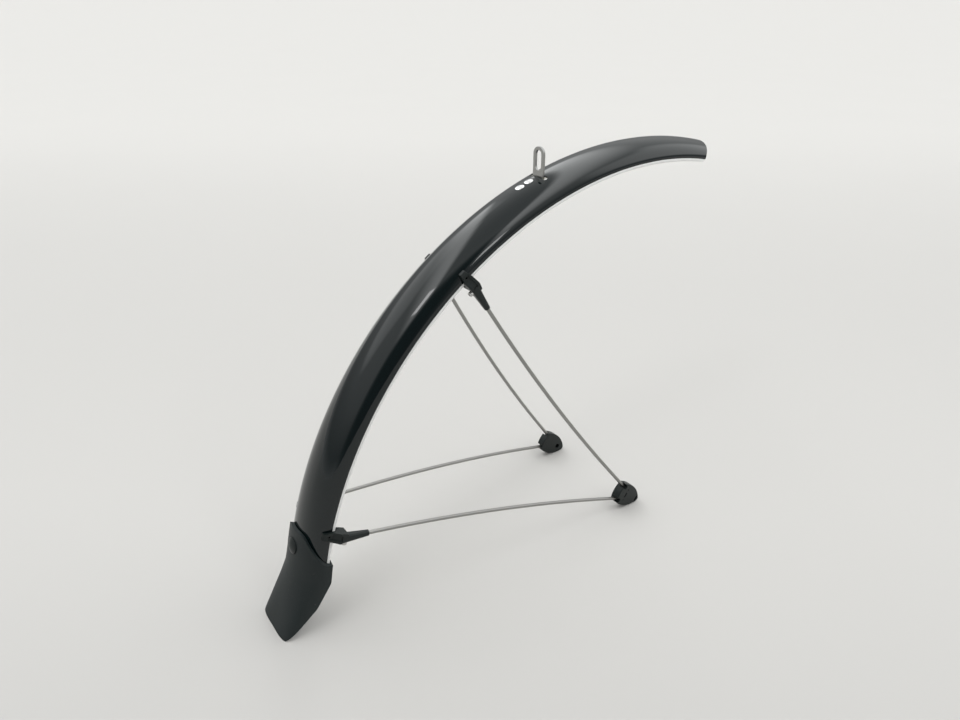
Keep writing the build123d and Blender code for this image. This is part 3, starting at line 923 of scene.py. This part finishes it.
@dataclass
class Blade:
    """The arched blade: a thin elliptical channel with a pale beaded lip on each rim."""

    half_width: float = BLADE_HALF_WIDTH
    depth: float = BLADE_DEPTH
    wall: float = 1.4 * MM
    tip_angle: float = 77.23
    tail_angle: float = 169.8
    tip_bow_radius: float = 37.0 * MM
    tip_round: float = 8.5 * MM
    lip_height: float = 2.7 * MM
    lip_bead: float = 1.0 * MM
    slot_width: float = 21.0 * MM
    slot_length: float = 4.8 * MM
    slot_setback: float = 118.0 * MM
    slot_cut_from: float = 0.8 * WHEEL.rim_radius
    rivet_runs: Pair = (11.4 * MM, 21.7 * MM)
    rivet_hole: float = 4.2 * MM
    button_angle: float = 166.7
    button_hole: float = 6.0 * MM
    section_steps: int = 44
    bead_steps: int = 14
    hole_steps: int = 32
    slot_end_steps: int = 12
    half_bow_steps: int = 32
    corner_steps: int = 16
    step_angle: float = 0.5
    wall_match: float = 0.97
    cutters: list[bpy.types.Object] = field(default_factory=list)

    @property
    def rivet_angles(self) -> list[float]:
        """Angles of the rivets, counted on from the crown bracket's upright."""
        crown_radius = WHEEL.rim_radius + self.depth
        upright_angle = 90.0 + math.degrees(math.asin(self.slot_setback / crown_radius))
        return [upright_angle + math.degrees(run / crown_radius) for run in self.rivet_runs]

    @property
    def lip_radius(self) -> float:
        """Radius of the lip's lowest line about the axle."""
        return WHEEL.rim_radius - self.lip_height

    @property
    def blank_angle(self) -> float:
        """Angle that the sweep starts at, ahead of the finished tip."""
        return self.tip_angle - math.degrees(self.tip_round / WHEEL.rim_radius)

    @property
    def inner_half_width(self) -> float:
        """Half the width inside the wall."""
        return self.half_width - self.wall

    @property
    def inner_depth(self) -> float:
        """Depth inside the wall."""
        return self.depth - self.wall

    def shell_section(self) -> list[Vector]:
        """Section of the channel above the rims.

        Returns:
            Its corners, outer wall first.
        """
        turns = [math.pi * i / self.section_steps for i in range(self.section_steps + 1)]
        section = [Vector((self.depth * math.sin(t), self.half_width * math.cos(t), 0.0)) for t in turns]
        for t in reversed(turns):
            section.append(Vector((self.inner_depth * math.sin(t), self.inner_half_width * math.cos(t), 0.0)))
        return section

    def lip_section(self, side: Side) -> list[Vector]:
        """Section of a lip: a short stem that ends in a bead.

        Args:
            side: The lip's side of the blade.

        Returns:
            Its corners.
        """
        middle = side.value * (self.half_width - self.wall / 2.0)
        bead_height = self.lip_bead - self.lip_height
        open_turn = math.asin(self.wall / 2.0 / self.lip_bead)
        points = [Vector((0.0, middle + self.wall / 2.0, 0.0))]
        for i in range(self.bead_steps + 1):
            turn = open_turn + (2.0 * math.pi - 2.0 * open_turn) * i / self.bead_steps
            rise, shift = self.lip_bead * math.cos(turn), self.lip_bead * math.sin(turn)
            points.append(Vector((bead_height + rise, middle + shift, 0.0)))
        points.append(Vector((0.0, middle - self.wall / 2.0, 0.0)))
        return points

    def round_hole(self, name: str, angle: float, bore: float) -> bpy.types.Object:
        """Cutter for a round hole straight out from the axle.

        Args:
            name: The cutter's name.
            angle: The hole's angle about the axle, in degrees.
            bore: Its diameter.

        Returns:
            The cutter.
        """
        centre, along = WHEEL.at(WHEEL.rim_radius, angle), WHEEL.along(angle)
        turns = [2.0 * math.pi * i / self.hole_steps for i in range(self.hole_steps)]
        ring = [centre + (along * math.cos(t) + WHEEL.across(math.sin(t))) * bore / 2.0 for t in turns]
        return prism(name, ring, WHEEL.outward(angle) * 2.0 * self.depth)

    def upright_slot(self) -> bpy.types.Object:
        """Cutter for the slot that the crown bracket stands through.

        Returns:
            The cutter.
        """
        end = self.slot_length / 2.0
        reach = self.slot_width / 2.0 - end
        base = WHEEL.axle + Vector((-self.slot_setback, 0.0, self.slot_cut_from))
        turns = [math.pi * i / self.slot_end_steps for i in range(self.slot_end_steps + 1)]
        far = [Vector((end * math.cos(t), reach + end * math.sin(t), 0.0)) for t in turns]
        near = [Vector((-p.x, -p.y, 0.0)) for p in far]
        return prism("cut_slot", [base + p for p in far + near], Vector((0.0, 0.0, WHEEL.rim_radius)))

    def tip_bow(self) -> bpy.types.Object:
        """Cutter that leaves the tip bowed, seen from above.

        Returns:
            The cutter.
        """
        along = WHEEL.along(self.tip_angle)
        radius, reach, side = self.tip_bow_radius, 2.0 * self.tip_round, 2.0 * self.half_width
        open_turn = math.acos(1.0 - reach / radius)
        turns = [open_turn * (i / self.half_bow_steps - 1.0) for i in range(2 * self.half_bow_steps + 1)]
        flat = [(radius * math.sin(t), radius - radius * math.cos(t)) for t in turns]
        flat += [(side, reach), (side, -reach), (-side, -reach), (-side, reach)]
        base = WHEEL.at(WHEEL.rim_radius - self.depth, self.tip_angle)
        outline = [base + WHEEL.across(y) + along * x for y, x in flat]
        return prism("cut_bow", outline, WHEEL.outward(self.tip_angle) * 3.0 * self.depth)

    def tip_corner(self) -> bpy.types.Object:
        """Cutter that rounds both lower corners of the tip.

        Returns:
            The cutter.
        """
        rise = (self.tip_round - self.lip_height) / self.depth
        corner_width = self.half_width * math.sqrt(1.0 - rise**2)
        inset = self.tip_bow_radius - math.sqrt(self.tip_bow_radius**2 - corner_width**2)
        angle = self.tip_angle + math.degrees(inset / WHEEL.rim_radius)
        out, along = WHEEL.outward(angle), WHEEL.along(angle)
        radius = self.tip_round
        turns = [math.pi * (1.5 - 0.5 * i / self.corner_steps) for i in range(self.corner_steps + 1)]
        flat = [(-radius, -radius), (radius, -radius)]
        flat += [(radius + radius * math.cos(t), radius + radius * math.sin(t)) for t in turns]
        flat += [(-radius, radius)]
        base = WHEEL.at(self.lip_radius, angle) - WHEEL.across(2.0 * self.half_width)
        outline = [base + along * x + out * height for x, height in flat]
        return prism("cut_tip", outline, WHEEL.across(4.0 * self.half_width))

    def cut(self, piece: bpy.types.Object) -> None:
        """Cut the holes and the rounded tip out of a piece.

        Args:
            piece: The piece.
        """
        for cutter in self.cutters:
            modifier = piece.modifiers.new(cutter.name, "BOOLEAN")
            modifier.operation = "DIFFERENCE"
            modifier.solver = "EXACT"
            modifier.object = cutter
        bake(piece)

    def sweep(
        self, name: str, section: list[Vector], tree: bpy.types.NodeTree, finish: bpy.types.Material
    ) -> bpy.types.Object:
        """Sweep a section along the guard and cut it.

        Args:
            name: Name of the piece.
            section: Its section.
            tree: The sweeping tree.
            finish: Its material.

        Returns:
            The finished piece.
        """
        turn = self.tail_angle - self.blank_angle
        values = {
            "Rim Radius": WHEEL.rim_radius,
            "Start Angle": math.radians(self.blank_angle),
            "Sweep": math.radians(turn),
            "Steps": round(turn / self.step_angle) + 1,
            "Axle": WHEEL.axle,
            "Finish": finish,
        }
        piece = run_nodes(name, line_mesh(name + "_section", section, True), tree, values)
        self.cut(piece)
        return piece

    def wall_normal(self, place: Vector, facing: Vector) -> Vector:
        """True normal of the outer or inner ellipse at a corner of a face.

        Args:
            place: The corner, seen from the axle.
            facing: The face's own normal.

        Returns:
            The ellipse's normal where the face lies in it, and otherwise the face's own.
        """
        out = Vector((place.x, 0.0, place.z))
        height = out.length - WHEEL.rim_radius
        out.normalize()
        best = facing.copy()
        walls = ((self.half_width, self.depth, 1.0), (self.inner_half_width, self.inner_depth, -1.0))
        for width, depth, sign in walls:
            slope = out * (height / depth**2) + WHEEL.across(place.y / width**2)
            true = slope.normalized() * sign
            if true.dot(facing) > self.wall_match:
                best = true
        return best

    def smooth_shell(self, shell: bpy.types.Object) -> None:
        """Shade the two walls of the shell by the true normals of their ellipses.

        Args:
            shell: The shell.
        """
        mesh = shell.data
        normals: list[Vector] = []
        for face in mesh.polygons:
            for index in face.vertices:
                normals.append(self.wall_normal(mesh.vertices[index].co - WHEEL.axle, face.normal))
        mesh.polygons.foreach_set("use_smooth", [True] * len(mesh.polygons))
        mesh.normals_split_custom_set(normals)

    def build(self) -> None:
        """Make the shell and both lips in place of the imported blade."""
        tree = swept_section_tree()
        self.cutters = [self.upright_slot(), self.tip_bow(), self.tip_corner()]
        self.cutters.append(self.round_hole("cut_button", self.button_angle, self.button_hole))
        for i, angle in enumerate(self.rivet_angles):
            self.cutters.append(self.round_hole(f"cut_rivet_{i}", angle, self.rivet_hole))
        shell = self.sweep("blade_shell", self.shell_section(), tree, BLADE_SKIN.make())
        self.smooth_shell(shell)
        settle(shell, "blade")
        lip_finish = LIP_PLASTIC.make()
        for side in Side:
            lip = self.sweep(f"rim_lip_{side.label}", self.lip_section(side), tree, lip_finish)
            lip.data.shade_smooth()
            settle(lip, "blade")
        for cutter in self.cutters:
            bpy.data.objects.remove(cutter)


@dataclass
class Stays:
    """The two wire stays: each wire is bent to a V, with bowed legs and an eye at the fork end."""

    gauge: float = 3.4 * MM
    eye_bore: float = 5.6 * MM
    eye_setback: float = 34.8 * MM
    eye_height: float = 14.216 * MM
    eye_offset: float = 60.0 * MM
    leg_angles: Pair = (125.5, 163.65)
    leg_bows: Pair = (7.6 * MM, 9.2 * MM)
    end_depth: float = 6.7 * MM
    end_offset: float = 29.0 * MM
    knee_run: float = 15.0 * MM
    knee_radius: float = 20.0 * MM
    bow_share: float = 0.795
    facets: int = 24
    bend_steps: int = 28

    @property
    def eye_radius(self) -> float:
        """Radius of the wire's middle line round the eye."""
        return (self.eye_bore + self.gauge) / 2.0

    def leg(self, angle: float, bow: float, sign: float) -> tuple[Vector, Vector, Vector, float]:
        """A leg seen from the side, flat in X and Z.

        Args:
            angle: Angle of its upper end about the axle.
            bow: How far its middle corner stands off the straight line.
            sign: Which way it is bowed.

        Returns:
            Its end, the corner of its bow, its knee and its heading there.
        """
        eye = Vector((WHEEL.axle_x - self.eye_setback, self.eye_height))
        end = WHEEL.at(WHEEL.rim_radius - self.end_depth, angle)
        end = Vector((end.x, end.z))
        chord = eye - end
        corner = end + chord / 2.0 + sign * bow * Vector((chord.y, -chord.x)) / chord.length
        reach = eye - corner
        heading = math.atan2(reach.y, reach.x) + sign * math.asin(self.eye_radius / reach.length)
        run = math.sqrt(reach.length**2 - self.eye_radius**2) - self.knee_run
        knee = corner + run * Vector((math.cos(heading), math.sin(heading)))
        return end, corner, knee, heading

    def corners(self, side: Side) -> list[Vector]:
        """Corners of one stay.

        Args:
            side: The stay's side of the wheel.

        Returns:
            The end, bow and knee of the upper leg, the point of the V, and the same of the lower leg.
        """
        end1, bow1, knee1, heading1 = self.leg(self.leg_angles[0], self.leg_bows[0], 1.0)
        end2, bow2, knee2, heading2 = self.leg(self.leg_angles[1], self.leg_bows[1], -1.0)
        gap = knee2 - knee1
        along = (gap.x * math.sin(heading2) - gap.y * math.cos(heading2)) / math.sin(heading2 - heading1)
        apex = knee1 + along * Vector((math.cos(heading1), math.sin(heading1)))
        eye, end = self.eye_offset, self.end_offset
        middle = (eye + end) / 2.0
        flat = (end1, bow1, knee1, apex, knee2, bow2, end2)
        offsets = (end, middle, eye, eye, eye, middle, end)
        return [Vector((p.x, side.value * y, p.y)) for p, y in zip(flat, offsets)]

    def bend(self, before: Vector, corner: Vector, after: Vector, run: float) -> list[Vector]:
        """Round a corner of the wire off.

        Args:
            before: The corner before it.
            corner: The corner.
            after: The corner after it.
            run: How far from the corner the straight runs stop.

        Returns:
            Points round the bend.
        """
        to, away = (before - corner).normalized(), (after - corner).normalized()
        half = to.angle(away) / 2.0
        centre = corner + (to + away).normalized() * (run / math.cos(half))
        first, last = corner + to * run - centre, corner + away * run - centre
        turn = first.angle(last)
        points: list[Vector] = []
        for i in range(self.bend_steps + 1):
            share = i / self.bend_steps
            from_first = math.sin((1.0 - share) * turn) / math.sin(turn)
            from_last = math.sin(share * turn) / math.sin(turn)
            points.append(centre + first * from_first + last * from_last)
        return points

    def route(self, side: Side) -> list[Vector]:
        """Middle line of one stay.

        Args:
            side: The stay's side of the wheel.

        Returns:
            Points along it.
        """
        points = self.corners(side)
        upper_bow, upper_knee, eye, lower_knee, lower_bow = range(1, len(points) - 1)
        ends = {upper_bow: points[0], lower_bow: points[-1]}
        radii = {upper_knee: self.knee_radius, eye: self.eye_radius, lower_knee: self.knee_radius}
        line = [points[0]]
        for i in range(1, len(points) - 1):
            before, corner, after = points[i - 1 : i + 2]
            if i in radii:
                run = radii[i] / math.tan((before - corner).angle(after - corner) / 2.0)
            else:
                run = self.bow_share * (ends[i] - corner).length
            line += self.bend(before, corner, after, run)
        return [*line, points[-1]]

    def build(self) -> None:
        """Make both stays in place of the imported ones."""
        tree = bent_wire_tree()
        values = {"Gauge": self.gauge, "Facets": self.facets, "Finish": STAY_WIRE.make()}
        for side in Side:
            name = f"stay_wire_{side.label}"
            wire = run_nodes(name, line_mesh(name + "_route", self.route(side), False), tree, values)
            wire.data.shade_smooth()
            settle(wire, f"stay_{side.label}")


@dataclass
class Flap:
    """The rubber flap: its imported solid, with the corner between hug and toe made a round bend."""

    bend_angle: float = 170.5
    bend_reach: float = 18.0 * MM
    bend_cuts: int = 13
    crown_turn: float = 14.5
    rim_turn: float = 10.3
    depth: float = 19.9 * MM
    hem_fade: float = 5.0 * MM
    weld: float = 1e-6
    sharp_angle: float = 32.0

    def lift(self, place: Vector) -> Vector:
        """Way that a point near the corner moves outwards on to the round bend.

        Args:
            place: The point.

        Returns:
            Its way, nothing beyond the bend's reach and under the rim.
        """
        out = Vector((place.x, 0.0, place.z)) - WHEEL.axle
        height = out.length - WHEEL.rim_radius
        run = (math.atan2(out.z, out.x) - math.radians(self.bend_angle)) * out.length
        if abs(run) >= self.bend_reach or height <= 0.0:
            return Vector()
        turn = self.rim_turn + (self.crown_turn - self.rim_turn) * min(height / self.depth, 1.0)
        rise = math.tan(math.radians(turn)) * (self.bend_reach - abs(run)) ** 2 / (4.0 * self.bend_reach)
        return out.normalized() * rise * min(height / self.hem_fade, 1.0)

    def build(self) -> None:
        """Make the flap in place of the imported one."""
        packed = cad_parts["mud_flap"].data
        mesh = bpy.data.meshes.new("rubber_flap")
        corners = [v.co.copy() for v in packed.vertices]
        mesh.from_pydata(corners, [], [tuple(p.vertices) for p in packed.polygons])
        shape = bmesh.new()
        shape.from_mesh(mesh)
        bmesh.ops.remove_doubles(shape, verts=shape.verts, dist=self.weld)
        reach = math.degrees(self.bend_reach / (WHEEL.rim_radius + self.depth))
        for i in range(self.bend_cuts):
            angle = self.bend_angle + reach * (2.0 * i / (self.bend_cuts - 1) - 1.0)
            everything = [*shape.verts, *shape.edges, *shape.faces]
            bmesh.ops.bisect_plane(
                shape, geom=everything, dist=SEAM_WELD, plane_co=WHEEL.axle, plane_no=WHEEL.along(angle)
            )
        for vertex in shape.verts:
            vertex.co += self.lift(vertex.co)
        bmesh.ops.triangulate(shape, faces=shape.faces)
        shape.to_mesh(mesh)
        shape.free()
        mesh.shade_smooth()
        mesh.set_sharp_from_angle(angle=math.radians(self.sharp_angle))
        mesh.materials.append(FLAP_RUBBER.make())
        settle(mesh_object("rubber_flap", mesh), "mud_flap")


@dataclass
class Fittings:
    """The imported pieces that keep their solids: brackets, screws, rivets, clips and button."""

    rivets: tuple[str, ...] = ("front", "rear")
    levels: tuple[str, ...] = ("upper", "lower")
    clip_halves: tuple[str, ...] = ("base", "cap")

    def dress(self) -> None:
        """Give each node its finish."""
        moulding, screw_steel = SATIN_MOULDING.make(), SCREW_STEEL.make()
        paint_node("crown_bracket", BRIGHT_STEEL.make())
        rivet_aluminium = RIVET_ALUMINIUM.make()
        for rivet in self.rivets:
            paint_node(f"crown_rivet_{rivet}", rivet_aluminium)
        for side in Side:
            for level in self.levels:
                paint_node(f"stay_bracket_{level}_{side.label}", moulding)
                paint_node(f"clamp_screw_{level}_{side.label}", screw_steel)
            for half in self.clip_halves:
                paint_node(f"release_clip_{half}_{side.label}", moulding)
        paint_node("flap_button", moulding)


@dataclass(frozen=True)
class Lamp:
    """One soft lamp: where it hangs, seen from the guard, and how bright it looks. Angles are degrees."""

    name: str
    azimuth: float
    elevation: float
    distance: float
    width: float
    height: float
    radiance: float

    def build(self, centre: Vector) -> None:
        """Hang the lamp and turn it to the guard.

        Args:
            centre: Middle of the guard.
        """
        turn, lift = math.radians(self.azimuth), math.radians(self.elevation)
        away = Vector((math.sin(turn) * math.cos(lift), math.cos(turn) * math.cos(lift), math.sin(lift)))
        data = bpy.data.lights.new(self.name, "AREA")
        data.shape = "RECTANGLE"
        data.size, data.size_y = self.width, self.height
        data.energy = self.radiance * math.pi * self.width * self.height
        lamp = bpy.data.objects.new(self.name, data)
        lamp.location = centre + away * self.distance
        lamp.rotation_mode = "QUATERNION"
        lamp.rotation_quaternion = away.to_track_quat("Z", "Y")
        bpy.context.scene.collection.objects.link(lamp)


@dataclass(frozen=True)
class Patch:
    """A soft-edged part of the surroundings with its own brightness. Angles are degrees."""

    level: float
    azimuth: float
    elevation: float
    spread: Pair
    edge: Pair
    squareness: float = 4.0
    least_run: float = 0.001

    def lay(self, graph: Graph, way: bpy.types.Node, radiance: Socket) -> Socket:
        """Lay the patch over what the surroundings have so far.

        Args:
            graph: The world's graph.
            way: Node that splits the direction into X, Y and Z.
            radiance: Brightness so far.

        Returns:
            Brightness with the patch.
        """
        ahead, aside, up = way.outputs["X"], way.outputs["Y"], way.outputs["Z"]
        turn = math.radians(self.azimuth)
        level_run = graph.math("MAXIMUM", graph.length(ahead, aside), self.least_run)
        aside_share = graph.math("MULTIPLY", aside, math.cos(turn))
        towards = graph.math("MULTIPLY_ADD", ahead, math.sin(turn), aside_share)
        facing = graph.math("ARCCOSINE", graph.math("DIVIDE", towards, level_run))
        sideways = graph.math("DIVIDE", facing, math.radians(self.spread[0]))
        lifted = graph.math("SUBTRACT", graph.math("ARCSINE", up), math.radians(self.elevation))
        upwards = graph.math("ABSOLUTE", graph.math("DIVIDE", lifted, math.radians(self.spread[1])))
        powers = [graph.math("POWER", part, self.squareness) for part in (sideways, upwards)]
        cover = graph.span(graph.math("ADD", *powers), *self.edge, 1.0, 0.0)
        return graph.towards(radiance, self.level, cover)


@dataclass(frozen=True)
class LightTube:
    """A long light on the ceiling, crisp towards the zenith and fading away from it.

    Its line on the ceiling is given by its normal and its distance from straight overhead, both on a
    ceiling one unit up.
    """

    normal: Pair
    distance: float
    crisp: float
    fade: float
    level: float
    horizon: Pair = (0.38, 0.50)
    least_rise: float = 0.05

    def lay(self, graph: Graph, way: bpy.types.Node, radiance: Socket) -> Socket:
        """Lay the tube over what the surroundings have so far.

        Args:
            graph: The world's graph.
            way: Node that splits the direction into X, Y and Z.
            radiance: Brightness so far.

        Returns:
            Brightness with the tube.
        """
        up = way.outputs["Z"]
        aside = graph.math("MULTIPLY", way.outputs["Y"], self.normal[1])
        across = graph.math("MULTIPLY_ADD", way.outputs["X"], self.normal[0], aside)
        place = graph.math("DIVIDE", across, graph.math("MAXIMUM", up, self.least_rise))
        beyond = graph.math("SUBTRACT", place, self.distance)
        inner = graph.span(beyond, -self.crisp, 0.0, 0.0, 1.0)
        outer = graph.span(beyond, 0.0, self.fade, 1.0, 0.0)
        above = graph.span(up, *self.horizon, 0.0, 1.0)
        cover = graph.math("MULTIPLY", graph.math("MULTIPLY", inner, outer), above)
        return graph.towards(radiance, self.level, cover)


@dataclass
class Studio:
    """Floor, surroundings, lamps and camera."""

    floor_radius: float = 120.0
    floor_steps: int = 96
    centre: Vector = field(default_factory=lambda: Vector((0.0, 0.0, 0.19)))
    camera_place: Vector = field(default_factory=lambda: Vector((-0.36142, -0.47065, 0.48692)))
    camera_right: Vector = field(default_factory=lambda: Vector((0.81012, -0.58626, -0.00109)))
    camera_up: Vector = field(default_factory=lambda: Vector((0.26659, 0.36673, 0.89131)))
    sensor: float = 36.0
    lens: float = 27.0
    clip: Pair = (0.01, 200.0)
    sky: tuple[Pair, ...] = (
        (0.00, 0.74),
        (0.03, 0.55),
        (0.09, 0.33),
        (0.17, 0.42),
        (0.26, 0.55),
        (0.34, 0.70),
        (0.50, 0.86),
        (0.64, 0.95),
        (0.77, 0.98),
        (0.90, 0.90),
        (1.00, 0.82),
    )
    sky_top: float = 1.5
    dimming: float = 0.94
    windows: tuple[Patch, ...] = (
        Patch(1.70, 110.0, 29.0, (32.0, 18.0), (0.2, 1.8)),
        Patch(1.55, -22.0, 36.0, (34.0, 14.0), (0.2, 1.8)),
    )
    tubes: tuple[LightTube, ...] = (
        LightTube((-0.893, 0.450), 0.44, 0.12, 0.45, 3.2),
        LightTube((0.954, -0.299), 0.29, 0.10, 0.65, 3.2),
    )
    shade: Patch = Patch(0.12, -149.0, 25.0, (33.0, 31.0), (0.1, 2.2))
    tint: Colour = (0.985, 1.0, 1.0)
    lamps: tuple[Lamp, ...] = (
        Lamp("lamp_left", -105.5, 53.4, 2.0, 0.32, 0.32, 5.0),
        Lamp("lamp_right", 174.2, 31.3, 2.0, 0.32, 0.32, 5.0),
    )

    def build(self) -> None:
        """Make the floor, the surroundings, the lamps and the camera."""
        self.make_floor()
        self.make_surroundings()
        for lamp in self.lamps:
            lamp.build(self.centre)
        self.make_camera()
        bpy.context.scene.view_settings.view_transform = "Standard"

    def make_floor(self) -> None:
        """A plain pale disc under the guard."""
        turns = [2.0 * math.pi * i / self.floor_steps for i in range(self.floor_steps)]
        rim = [(self.floor_radius * math.cos(t), self.floor_radius * math.sin(t), 0.0) for t in turns]
        mesh = bpy.data.meshes.new("floor")
        mesh.from_pydata(rim, [], [tuple(range(self.floor_steps))])
        mesh.materials.append(PALE_FLOOR.make())
        mesh_object("floor", mesh)

    def make_surroundings(self) -> None:
        """A pale room with two soft windows, two light tubes overhead and a shaded side by the camera."""
        world = bpy.data.worlds.new("studio")
        bpy.context.scene.world = world
        world.use_nodes = True
        world.node_tree.nodes.clear()
        graph = Graph(world.node_tree)
        way = graph.add("ShaderNodeSeparateXYZ")
        graph.feed(way.inputs[0], graph.add("ShaderNodeTexCoord").outputs["Generated"])
        sky = graph.add("ShaderNodeValToRGB")
        while len(sky.color_ramp.elements) < len(self.sky):
            sky.color_ramp.elements.new(1.0)
        for stop, (height, level) in zip(sky.color_ramp.elements, self.sky):
            stop.position, stop.color = height, rgba((level / self.sky_top,) * 3)
        graph.feed(sky.inputs["Fac"], way.outputs["Z"])
        radiance = graph.math("MULTIPLY", sky.outputs["Color"], self.sky_top)
        for part in (*self.windows, *self.tubes, self.shade):
            radiance = part.lay(graph, way, radiance)
        background = graph.add("ShaderNodeBackground")
        background.inputs["Color"].default_value = rgba(self.tint)
        graph.feed(background.inputs["Strength"], graph.math("MULTIPLY", radiance, self.dimming))
        output = graph.add("ShaderNodeOutputWorld")
        graph.feed(output.inputs["Surface"], background.outputs[0])

    def make_camera(self) -> None:
        """Place the camera at the viewpoint of the picture."""
        data = bpy.data.cameras.new("camera")
        data.sensor_width, data.lens = self.sensor, self.lens
        data.clip_start, data.clip_end = self.clip
        camera = bpy.data.objects.new("camera", data)
        right, up = self.camera_right.normalized(), self.camera_up.normalized()
        back = right.cross(up)
        turn = Matrix((right, up, back)).transposed()
        camera.matrix_world = Matrix.Translation(self.camera_place) @ turn.to_4x4()
        bpy.context.scene.collection.objects.link(camera)
        bpy.context.scene.camera = camera


def main() -> None:
    """Build every sub-assembly, then the studio."""
    logging.basicConfig(level=logging.INFO)
    Blade().build()
    Stays().build()
    Flap().build()
    Fittings().dress()
    Studio().build()


if __name__ == "__main__":
    main()
